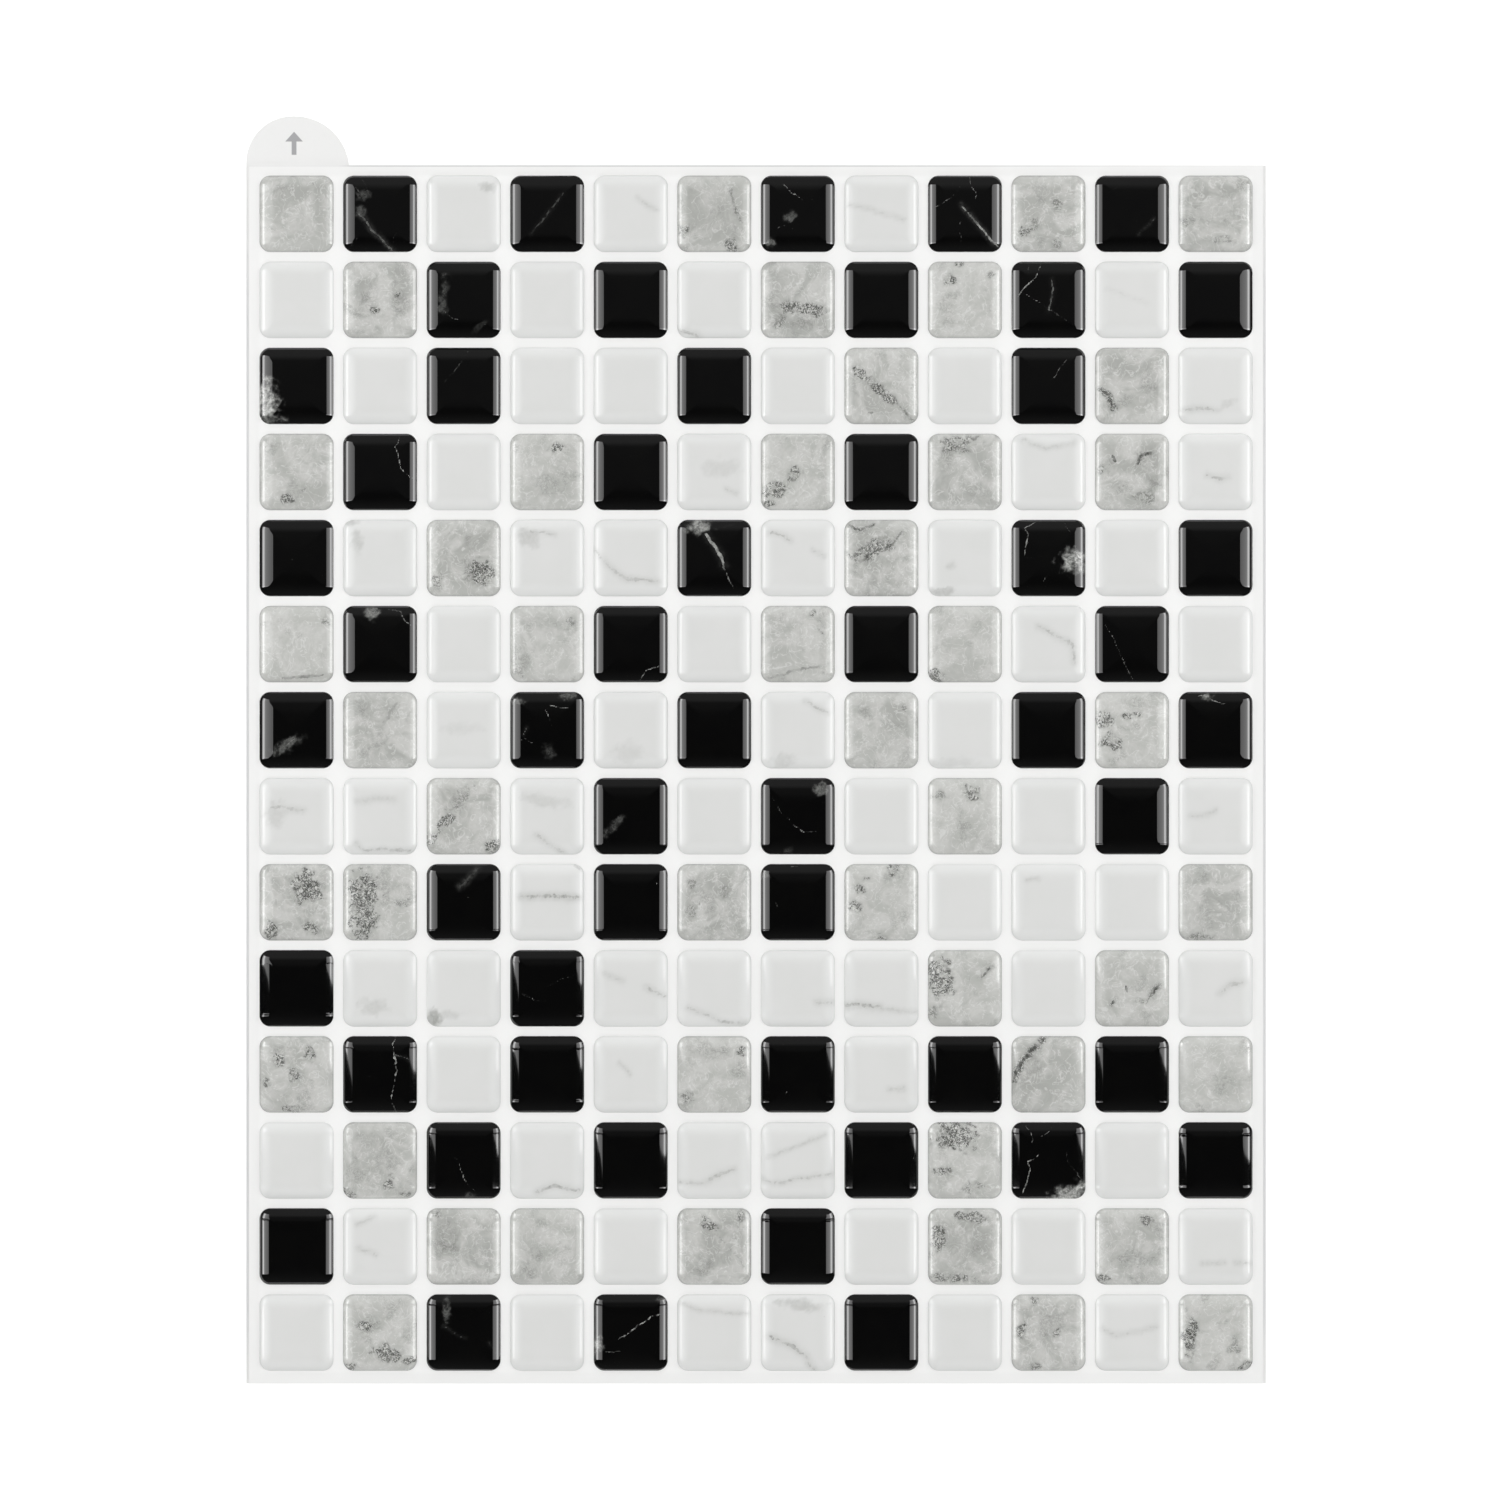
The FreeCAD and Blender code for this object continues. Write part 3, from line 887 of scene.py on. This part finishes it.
# %% List the strokes of the white squares
stroke = mark("vein", haze=0.3, broken=0.6)
WHITE_MARKS = {
    (1, 3): [cloud(0.5, 3, 1.8, (83, 16))],
    (1, 5): [stroke(0.25, 0.3, (60, 30), (72, 40), (85, 45))],
    (1, 8): [stroke(0.25, 0.25, (5, 40), (35, 45), (55, 52), (80, 58))],
    (2, 6): [stroke(0.6, 0.5, (2, 88), (15, 92), (30, 98))],
    (2, 11): [vein(0.1, 0.3, (15, 35), (40, 45), (70, 55), haze=0.12)],
    (3, 12): [stroke(0.65, 0.45, (5, 82), (30, 80), (52, 82)), cloud(0.3, 3.4, 1.8, (68, 72), turn=-30)],
    (4, 6): [cloud(0.25, 7, 3, (60, 45)), stroke(0.3, 0.3, (65, 72), (80, 78))],
    (4, 10): [stroke(0.25, 0.4, (15, 8), (45, 20), (85, 12))],
    (4, 12): [stroke(0.7, 0.5, (38, 55), (52, 60), (66, 57))],
    (5, 2): [cloud(0.5, 3, 1, (10, 4)), cloud(0.35, 2, 5, (20, 28)), dots(0.25, 0.6, (65, 65))],
    (5, 4): [cloud(0.45, 4.5, 3.4, (26, 24)), stroke(0.5, 0.3, (25, 16), (45, 17), (62, 20))],
    (5, 5): [
        stroke(0.6, 0.45, (2, 40), (15, 55), (30, 68), (45, 78), (65, 78), (88, 82)),
        dots(0.25, 0.4, (50, 50)),
    ],
    (5, 7): [stroke(0.7, 0.4, (12, 18), (28, 19), (40, 28)), stroke(0.45, 0.35, (70, 40), (85, 48))],
    (5, 9): [cloud(0.3, 1.8, 1.8, (30, 60)), cloud(0.5, 4.4, 1.4, (20, 94))],
    (6, 10): [stroke(0.55, 0.45, (35, 28), (50, 34), (65, 43), (82, 50), (85, 75))],
    (7, 3): [cloud(0.16, 8, 2, (50, 48))],
    (7, 5): [cloud(0.22, 5, 3.6, (45, 80))],
    (7, 7): [stroke(0.55, 0.35, (60, 12), (75, 20), (90, 28)), cloud(0.3, 4, 2.4, (30, 90))],
    (7, 9): [cloud(0.22, 9, 1.8, (35, 92))],
    (8, 1): [
        stroke(0.45, 0.45, (15, 38), (38, 40), (60, 42)),
        cloud(0.32, 4, 5, (20, 48)),
        dots(0.3, 0.5, (55, 95)),
    ],
    (8, 2): [
        stroke(0.12, 0.5, (20, 30), (45, 27), (70, 28)),
        stroke(0.5, 0.4, (18, 84), (30, 95), (50, 93), (92, 95)),
    ],
    (8, 4): [cloud(0.28, 9, 2.2, (45, 30), turn=6), stroke(0.6, 0.5, (35, 75), (55, 88), (72, 98))],
    (8, 12): [stroke(0.2, 0.35, (15, 50), (30, 50), (50, 42))],
    (9, 4): [
        vein(0.95, 0.55, (15, 42), (40, 42), (60, 42), (92, 44), haze=0.5, broken=0.3),
        vein(0.7, 0.5, (86, 2), (98, 9)),
    ],
    (9, 10): [stroke(0.2, 0.3, (20, 20), (36, 19))],
    (10, 2): [cloud(0.35, 5.4, 3, (42, 74))],
    (10, 3): [cloud(0.95, 3.4, 3, (9, 88)), cloud(0.3, 4.5, 1.6, (32, 84))],
    (10, 5): [stroke(0.55, 0.4, (70, 48), (85, 55), (97, 61)), stroke(0.15, 0.4, (15, 30), (40, 40))],
    (10, 6): [stroke(0.6, 0.45, (15, 75), (38, 84), (60, 93), (92, 97))],
    (10, 7): [stroke(0.55, 0.6, (75, 68), (97, 68))],
    (10, 8): [
        vein(0.9, 0.6, (0, 72), (20, 71), (48, 74), haze=0.45, broken=0.4),
        stroke(0.2, 0.3, (50, 76), (95, 80)),
    ],
    (10, 12): [stroke(0.42, 0.6, (55, 56), (70, 45), (86, 42))],
    (11, 5): [stroke(0.16, 0.3, (35, 35), (50, 50))],
    (11, 8): [stroke(0.2, 0.4, (60, 70), (80, 68))],
    (12, 4): [stroke(0.9, 0.55, (36, 90), (50, 84), (62, 82), (75, 86), (96, 88))],
    (12, 6): [
        stroke(0.65, 0.5, (35, 78), (50, 71), (62, 66), (78, 61)),
        stroke(0.25, 0.3, (3, 78), (35, 79)),
    ],
    (12, 7): [
        stroke(0.5, 0.35, (0, 72), (15, 80), (30, 78), (50, 72), (96, 68)),
        stroke(0.16, 0.3, (10, 45), (50, 30), (86, 16)),
    ],
    (13, 2): [stroke(0.15, 0.3, (20, 20), (42, 10)), stroke(0.3, 0.3, (20, 50), (45, 60))],
    (13, 12): [stroke(0.2, 0.35, (30, 72), (60, 70)), stroke(0.42, 0.35, (75, 70), (96, 72))],
    (14, 6): [stroke(0.16, 0.3, (5, 10), (30, 20), (60, 22), (96, 25))],
    (14, 7): [
        cloud(0.5, 8, 2.2, (55, 13), turn=4),
        dots(0.7, 0.5, (85, 28)),
        vein(0.9, 0.6, (12, 55), (40, 65), (60, 80), (72, 99), haze=0.4, broken=0.25),
    ],
    (14, 11): [stroke(0.35, 0.35, (10, 45), (25, 52), (50, 48), (82, 42))],
}
print(len(WHITE_MARKS), "white squares have strokes")

# %% [markdown]
# On the grey squares a cloud up to about 0.4 is a soft dark patch, and a stronger one is a nest of
# fine dark crackle. The lines are short dark cracks.

# %% List the crackle of the grey squares
crack = mark("vein", haze=0.55, broken=0.7)
GREY_MARKS = {
    (1, 1): [vein(0.2, 0.3, (70, 8), (74, 14)), cloud(0.2, 6, 5, (50, 70))],
    (1, 6): [
        cloud(0.3, 12, 12, (45, 45)),
        crack(0.4, 0.3, (72, 20), (78, 45), (86, 62)),
        cloud(0.6, 3, 3, (75, 92), (10, 72)),
    ],
    (1, 10): [cloud(0.8, 2.4, 2, (16, 74)), cloud(0.5, 2.4, 3, (60, 38), (30, 62), (60, 92))],
    (1, 12): [cloud(0.34, 10, 7, (55, 50)), cloud(0.5, 5, 2, (60, 85), (12, 60))],
    (2, 2): [cloud(0.95, 2, 1.6, (45, 65)), cloud(0.5, 3.6, 1, (75, 42), turn=-40)],
    (2, 7): [
        cloud(0.78, 9, 2.6, (58, 63), turn=8),
        cloud(0.5, 4, 2, (26, 80), turn=-40),
        cloud(0.3, 12, 3, (60, 85)),
    ],
    (2, 9): [cloud(0.65, 3, 2.4, (30, 25)), cloud(0.75, 2, 1.2, (42, 4)), cloud(0.5, 2, 2, (85, 18))],
    (3, 8): [
        cloud(1, 10.5, 2.2, (38, 48), turn=42),
        crack(0.5, 0.25, (55, 62), (75, 78), (92, 96)),
        vein(0.8, 0.4, (32, 86), (38, 86)),
    ],
    (3, 11): [vein(0.95, 0.6, (8, 55), (17, 63), (24, 80), haze=0.8, broken=0.6)],
    (4, 1): [cloud(0.7, 3.2, 2.4, (40, 86)), cloud(0.5, 1.6, 1.6, (60, 74))],
    (4, 4): [cloud(0.72, 3.6, 2.2, (63, 18)), cloud(0.4, 8, 4.2, (50, 68), turn=18)],
    (4, 7): [
        cloud(0.85, 4.4, 3, (20, 72)),
        cloud(0.75, 2.2, 3.2, (44, 52)),
        cloud(0.6, 2.6, 1.4, (10, 92)),
    ],
    (4, 9): [
        crack(0.8, 0.5, (24, 6), (20, 24)),
        crack(0.7, 0.5, (55, 5), (62, 8), (68, 4)),
        crack(0.7, 0.5, (38, 18), (56, 24)),
        cloud(0.6, 7, 3.6, (40, 14)),
        cloud(0.35, 6, 4, (70, 78)),
    ],
    (4, 11): [
        vein(0.95, 0.55, (22, 28), (27, 38)),
        crack(0.95, 0.6, (56, 40), (60, 30), (76, 25)),
        cloud(0.55, 1.6, 3, (8, 48)),
        cloud(0.5, 5, 3, (66, 84)),
    ],
    (5, 3): [cloud(0.95, 5, 5.6, (73, 70)), cloud(0.55, 3, 3.4, (14, 80))],
    (5, 8): [
        crack(0.9, 0.4, (8, 8), (22, 15), (40, 6)),
        crack(0.85, 0.4, (4, 44), (20, 55), (40, 42), (60, 34), (78, 18)),
        cloud(0.6, 9, 4, (40, 38), turn=-25),
    ],
    (6, 1): [stroke(0.5, 0.6, (30, 95), (60, 93), (88, 90)), cloud(0.5, 2, 2.4, (90, 20))],
    (6, 4): [cloud(0.55, 3, 2, (80, 20)), cloud(0.32, 11, 3, (50, 22)), cloud(0.45, 3, 2.4, (12, 88))],
    (6, 7): [
        cloud(0.95, 1.8, 1.6, (72, 9)),
        crack(0.5, 0.25, (78, 30), (84, 38)),
        stroke(0.4, 0.5, (10, 95), (40, 86), (82, 78)),
    ],
    (6, 9): [cloud(0.75, 4, 3.4, (8, 92)), dots(0.5, 0.3, (47, 25))],
    (7, 2): [stroke(0.3, 0.7, (74, 14), (64, 28), (54, 46)), cloud(0.3, 8, 4, (35, 18))],
    (7, 8): [cloud(0.5, 2, 2, (80, 20)), cloud(0.25, 6, 9, (75, 60))],
    (7, 11): [
        cloud(0.9, 3.6, 3.6, (12, 36)),
        cloud(0.8, 4.6, 4, (20, 66)),
        cloud(0.8, 2, 1.4, (56, 30), (42, 33)),
    ],
    (8, 3): [
        cloud(0.45, 11, 3.4, (45, 30), turn=-60),
        cloud(0.9, 5.4, 2, (27, 56), turn=-45),
        cloud(0.8, 3, 3, (90, 90), (6, 80)),
    ],
    (8, 9): [cloud(0.5, 3, 2.6, (14, 24)), cloud(0.65, 3.6, 3, (60, 20)), dots(0.8, 0.6, (57, 42))],
    (9, 1): [
        cloud(0.85, 6, 6.4, (64, 30)),
        cloud(0.85, 2.6, 3.6, (15, 86)),
        cloud(0.6, 3.4, 2.4, (70, 84)),
    ],
    (9, 2): [cloud(1.25, 5.4, 12, (28, 50)), cloud(0.5, 4, 2, (78, 50))],
    (9, 6): [
        cloud(0.5, 3, 2.6, (20, 24), (64, 36)),
        vein(0.6, 0.3, (28, 52), (36, 43)),
        cloud(0.5, 3, 3, (18, 60)),
    ],
    (9, 8): [
        crack(0.7, 0.35, (26, 20), (36, 18)),
        cloud(0.6, 3, 2.4, (20, 32), (65, 8), (14, 55), (50, 95)),
    ],
    (9, 12): [cloud(0.5, 7, 1.8, (30, 95)), cloud(0.36, 6, 6, (35, 70))],
    (10, 9): [
        cloud(1.2, 5, 7.4, (17, 36)),
        crack(0.9, 0.5, (70, 36), (82, 24)),
        cloud(0.5, 2.4, 3, (8, 80)),
    ],
    (10, 11): [
        vein(0.95, 0.5, (40, 46), (45, 55)),
        crack(0.95, 0.5, (21, 70), (28, 63)),
        crack(0.95, 0.9, (75, 60), (80, 50), (86, 46)),
        cloud(0.5, 4, 1.4, (60, 66)),
    ],
    (11, 1): [
        cloud(0.9, 2.2, 3, (27, 30), (70, 20), (46, 50)),
        cloud(0.9, 4, 1.6, (40, 95)),
        cloud(0.6, 2, 2, (10, 60)),
    ],
    (11, 6): [
        cloud(0.6, 2.4, 2, (86, 20)),
        cloud(0.36, 9, 2.4, (55, 24)),
        cloud(0.5, 3.4, 2.6, (14, 80)),
    ],
    (11, 10): [vein(1, 0.8, (47, 0), (30, 15), (15, 30), (3, 56), haze=0.8, broken=0.7)],
    (11, 12): [cloud(0.32, 7, 6, (72, 60))],
    (12, 2): [
        cloud(0.9, 3, 2.6, (8, 93)),
        cloud(0.6, 2.2, 3.4, (63, 80)),
        cloud(0.5, 2.4, 1.4, (86, 95)),
        cloud(0.34, 6, 4, (35, 22)),
    ],
    (12, 9): [cloud(1.2, 8, 5.6, (36, 17)), cloud(0.85, 4, 1.6, (18, 63)), cloud(0.5, 5, 3.6, (60, 84))],
    (13, 3): [cloud(0.38, 7, 7, (28, 35)), cloud(0.5, 2.4, 1.6, (14, 8))],
    (13, 4): [cloud(0.34, 7, 3, (20, 88)), cloud(0.26, 7, 8, (30, 50))],
    (13, 6): [
        cloud(0.85, 4, 2.6, (40, 20), turn=35),
        cloud(0.55, 2.4, 2.4, (86, 12)),
        stroke(0.25, 0.35, (50, 32), (70, 50), (92, 76)),
    ],
    (13, 9): [
        cloud(0.85, 7.4, 1.8, (62, 12), turn=6),
        cloud(0.6, 3.6, 5.4, (12, 38)),
        cloud(0.6, 9, 2.6, (40, 90)),
        cloud(0.32, 10, 8, (50, 50)),
    ],
    (13, 11): [cloud(0.65, 3, 2.4, (70, 15)), cloud(0.4, 8, 5, (50, 66)), cloud(0.95, 2.4, 1.8, (9, 92))],
    (14, 2): [
        cloud(0.85, 3.6, 2.2, (30, 40), turn=15),
        cloud(0.4, 4.4, 2.6, (38, 34)),
        cloud(0.8, 6, 4, (62, 78)),
        cloud(0.75, 3, 2, (10, 95), (88, 86)),
    ],
    (14, 10): [cloud(0.7, 2.2, 3.4, (12, 48)), cloud(0.55, 2.4, 2, (30, 8), (60, 50), (34, 95))],
    (14, 12): [cloud(0.65, 3, 8, (14, 55)), cloud(1, 3, 2.4, (92, 95)), cloud(0.5, 3, 4, (75, 66))],
}
MARKS = {"black": BLACK_MARKS, "grey": GREY_MARKS, "white": WHITE_MARKS}
print(len(GREY_MARKS), "grey squares have marks")

# %% [markdown]
# ## The gel finishes
# Gel over print could be made as a clear shell over a printed card, which needs light to find its
# way through two surfaces. Seen from above the gel is simply a mirror-smooth coat over the print, so
# one opaque shader with a low roughness gives the same look and stays true in any light. Each
# square reads its own slice of a four-dimensional noise, so the stone never runs on from one square
# to the next. On the grey and white squares a painted shade darkens the print at the very rim, and a
# painted light makes the print a little lighter over the shoulder, which the lamps leave darker than
# the middle.

# %% Make the three marbles
GEL_ROUGHNESS = 0.02
BLACK_IOR, GREY_IOR, WHITE_IOR = 1.8, 1.66, 1.5
SKIN_WAVE, SKIN_HEIGHT = 0.006, 0.000003
# How far in from the rim the painted rim shade and the painted shoulder light end, in mm, and where
# a stored line has its edge.
RIM_SHADE_END, SHOULDER_LIGHT_END = (0.15, 0.5), (0.8, 3.6)
LINE_EDGE = (0.97, 1.06)


class Marble(Finish):
    """A finish with the wires that all three stones use."""

    def __init__(self, name):
        super().__init__(name)
        self.place = self.node("ShaderNodeTexCoord")["Object"]
        self.slice = self.stored("square_slice")
        self.line = self.stored("line")
        self.strength = self.stored("line_strength")
        self.haze = self.stored("haze")
        inset = self.stored("inset_mm")
        # Masks for the painted rim shade and the painted shoulder light.
        self.rim = 1 - self.band(inset, *RIM_SHADE_END)
        self.shoulder = 1 - self.band(inset, *SHOULDER_LIGHT_END)

    def stored(self, name):
        """A value kept on the mesh's points."""
        return self.node("ShaderNodeAttribute", {"attribute_name": name})["Fac"]

    def stone(self, cell, detail=2.0, rough=0.5, warp=0.0, layer=0.0):
        """Noise that differs from square to square. Another layer gives another noise."""
        return self.noise(self.place, cell, detail, self.slice + layer, rough, warp)

    def cut_line(self, fine, tear, widen=0.0):
        """The printed line with an edge torn by a fine noise, times its strength."""
        return self.band(self.line + (fine - 0.5) * tear + widen, *LINE_EDGE) * self.strength

    def skin(self):
        """The slow waves in the skin of a poured gel."""
        return self.bump(self.stone(SKIN_WAVE, detail=1.0), SKIN_HEIGHT)


def black_marble():
    """Near black stone with smoky white veins."""
    gel = Marble("black_marble_gel")
    fine = gel.stone(0.0005, detail=3.0, rough=0.6)
    smoke = gel.stone(0.0016, detail=4.0, rough=0.6, warp=0.6, layer=4.0)
    ground = gel.blend(gel.stone(0.004, detail=3.0), shade(4, 4, 5), shade(9, 9, 8))
    milk = gel.blend(fine, shade(160, 162, 158), shade(226, 227, 223))
    veins = gel.cut_line(fine, 0.3)
    milky = gel.haze * (gel.band(smoke, 0.32, 0.58) * 0.5 + gel.band(fine, 0.3, 0.7) * 0.25 + 0.35)
    colour = gel.blend(milky * milky, ground, milk)
    colour = gel.blend(veins * veins * 1.5, colour, milk)
    return gel.surface(colour, GEL_ROUGHNESS, gel.skin(), IOR=BLACK_IOR)


def grey_marble():
    """Cloudy grey stone with pale threads, soft dark patches and nests of dark crackle."""
    gel = Marble("grey_marble_gel")
    clouds = gel.stone(0.0075, detail=6.0, rough=0.6, warp=1.2)
    fine = gel.stone(0.0006, detail=3.0, rough=0.65)
    threads = abs(gel.stone(0.0034, detail=2.0, warp=1.6, layer=7.0) - 0.5)
    crackle = abs(gel.stone(0.0016, detail=4.0, rough=0.7, warp=1.8, layer=9.0) - 0.5)
    healed = abs(gel.stone(0.0014, detail=3.0, rough=0.65, warp=1.8, layer=15.0) - 0.5)
    specks = gel.stone(0.0007, detail=2.0, rough=0.6, layer=11.0)
    chance = gel.band(gel.stone(0.005, layer=5.0), 0.54, 0.7)
    torn = gel.band(gel.stone(0.0024, detail=3.0, warp=0.8, layer=17.0), 0.36, 0.52)
    tone = gel.band(gel.stone(0.05, detail=0.0, layer=13.0), 0.35, 0.65)
    ground = gel.blend(tone, shade(166, 167, 163), shade(186, 187, 183))
    ground = gel.blend(gel.band(clouds, 0.38, 0.62) * 0.8, ground, shade(205, 205, 202))
    ground = gel.blend(gel.band(fine, 0.35, 0.65) * 0.2, ground, shade(168, 169, 165))
    pale = (1 - gel.band(threads, 0.006, 0.024)) * (1 - chance) * 0.45
    ground = gel.blend(pale, ground, shade(221, 222, 220))
    # Painted light: the print is a little lighter over the gel's shoulder.
    ground = gel.blend(gel.shoulder * 0.22, ground, shade(218, 219, 216))
    patch = gel.maths("MINIMUM", gel.haze, 0.5)
    ground = gel.blend(patch * (clouds * 0.7 + 0.1), ground, shade(130, 132, 127))
    nest = gel.band(gel.haze, 0.25, 0.7) * (torn * 0.75 + 0.25)
    mended = (1 - gel.band(healed, 0.014, 0.045)) * nest
    ground = gel.blend(mended * 0.75, ground, shade(224, 225, 221))
    cracks = 1 - gel.band(crackle, 0.018, 0.06)
    dark = gel.maths("MAXIMUM", cracks, gel.band(specks, 0.56, 0.62) * 0.45) * (nest + chance * 0.3)
    dark = gel.maths("MAXIMUM", dark, gel.cut_line(fine, 0.8, widen=0.05) * (torn * 0.4 + 0.6))
    dark = gel.maths("MINIMUM", dark, 0.9)
    colour = gel.blend(dark, ground, shade(60, 61, 58))
    # Painted shade: the print darkens at the very rim.
    colour = gel.blend(gel.rim * 0.3, colour, shade(120, 122, 120))
    return gel.surface(colour, GEL_ROUGHNESS, gel.skin(), IOR=GREY_IOR)


def white_marble():
    """Plain white stone with faint grey brush strokes."""
    gel = Marble("white_marble_gel")
    wisps = gel.stone(0.0012, detail=3.0, rough=0.6, warp=0.8)
    ground = gel.blend(gel.stone(0.007, detail=3.0), shade(212, 213, 211), shade(218, 218, 217))
    # Painted light: the print is a little lighter over the gel's shoulder.
    ground = gel.blend(gel.shoulder * 0.6, ground, shade(229, 230, 229))
    soft = gel.haze * (wisps + 0.25)
    ground = gel.blend(soft, ground, shade(150, 151, 147))
    brushed = gel.cut_line(wisps, 0.9, widen=0.1) * gel.band(wisps, 0.3, 0.7) * 0.7
    colour = gel.blend(brushed, ground, shade(118, 119, 115))
    # Painted shade: the print darkens at the very rim.
    colour = gel.blend(gel.rim * 0.14, colour, shade(170, 171, 170))
    return gel.surface(colour, GEL_ROUGHNESS, gel.skin(), IOR=WHITE_IOR)


GELS = {"black": black_marble(), "grey": grey_marble(), "white": white_marble()}
print("gels:", list(GELS))

# %% [markdown]
# ## Pour all the squares
# The squares of one stone in one row are one mesh, as they are one node in the model, and each mesh
# stands in for its node. Squares with drawn marks get a finer grid, because the marks are stored on
# its points, and the sharp veins of the black squares need the finest.

# %% Build a piece for each row and stone
MARKED_GRIDS = {"black": (36, 1.2), "grey": (26, 1.25), "white": (20, 1.35)}
PLAIN_GRID = (16, 1.7)
STORED = ("line", "line_strength", "haze", "inset_mm", "square_slice")
# How much one pour differs from the next: in its roll-off, its height and how far it is off level.
ROLL_OFF_SPREAD, HEIGHT_SPREAD, LEVEL_SPREAD = (0.94, 1.08), (0.95, 0.985), 0.0018
# How far the slice of noise moves on from seed to seed, and where it starts again.
SLICE_STEP, SLICE_END = 0.37, 50


def rim_of(rings):
    """The numbers of the rim's points, all the way round."""
    row = 2 * rings + 1
    top = np.arange(row)
    right = np.arange(1, row) * row + row - 1
    bottom = row * (row - 1) + np.arange(row - 2, -1, -1)
    left = np.arange(row - 2, 0, -1) * row
    return np.concatenate((top, right, bottom, left))


def gel_piece(node, stone):
    """One mesh with a smooth gel square for each solid of a node."""
    points, faces, stored = [], [], {}
    for box_low, box_high in tiles_in[node]:
        middle = (box_low + box_high) / 2
        column = int(abs(column_places - middle[0]).argmin()) + 1
        row = int(abs(row_places - middle[1]).argmin()) + 1
        marks = MARKS[stone].get((row, column), [])
        rings, crowding = MARKED_GRIDS[stone] if marks else PLAIN_GRID
        seed = row * 100 + column
        pour = np.random.default_rng(seed)
        roll_off = ROLL_OFF * pour.uniform(*ROLL_OFF_SPREAD)
        height = gel_height * pour.uniform(*HEIGHT_SPREAD)
        square, inset, quads = gel_points(rings, crowding, roll_off, height)
        level = square[:, :2] @ pour.uniform(-LEVEL_SPREAD, LEVEL_SPREAD, 2)
        square[:, 2] *= 1 + level / height
        drawn = Print(square, seed).draw(marks)
        start = sum(len(p) for p in points)
        points.append(square + (middle[0], middle[1], film_top))
        faces += (quads + start).tolist()
        faces.append((rim_of(rings)[::-1] + start).tolist())
        own_slice = np.full(len(square), seed * SLICE_STEP % SLICE_END)
        values = (drawn.line, drawn.strength, drawn.haze, inset * MM, own_slice)
        for name, value in zip(STORED, values):
            stored.setdefault(name, []).append(value)
    mesh = bpy.data.meshes.new(node.replace("_tiles", "_gel"))
    mesh.from_pydata(np.concatenate(points).tolist(), [], faces)
    mesh.validate()
    for name, values in stored.items():
        layer = mesh.attributes.new(name, "FLOAT", "POINT")
        layer.data.foreach_set("value", np.concatenate(values).astype(np.float32))
    for face in mesh.polygons:
        face.use_smooth = len(face.vertices) == 4
    mesh.materials.append(GELS[stone])
    piece = bpy.data.objects.new(mesh.name, mesh)
    bpy.context.scene.collection.objects.link(piece)
    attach(piece, "root")
    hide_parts(node)
    return piece


triangles = 0
for node in tile_nodes:
    piece = gel_piece(node, node.split("_")[2])
    triangles += sum(len(face.vertices) - 2 for face in piece.data.polygons)
print(len(tile_nodes), "pieces of gel with", triangles, "triangles")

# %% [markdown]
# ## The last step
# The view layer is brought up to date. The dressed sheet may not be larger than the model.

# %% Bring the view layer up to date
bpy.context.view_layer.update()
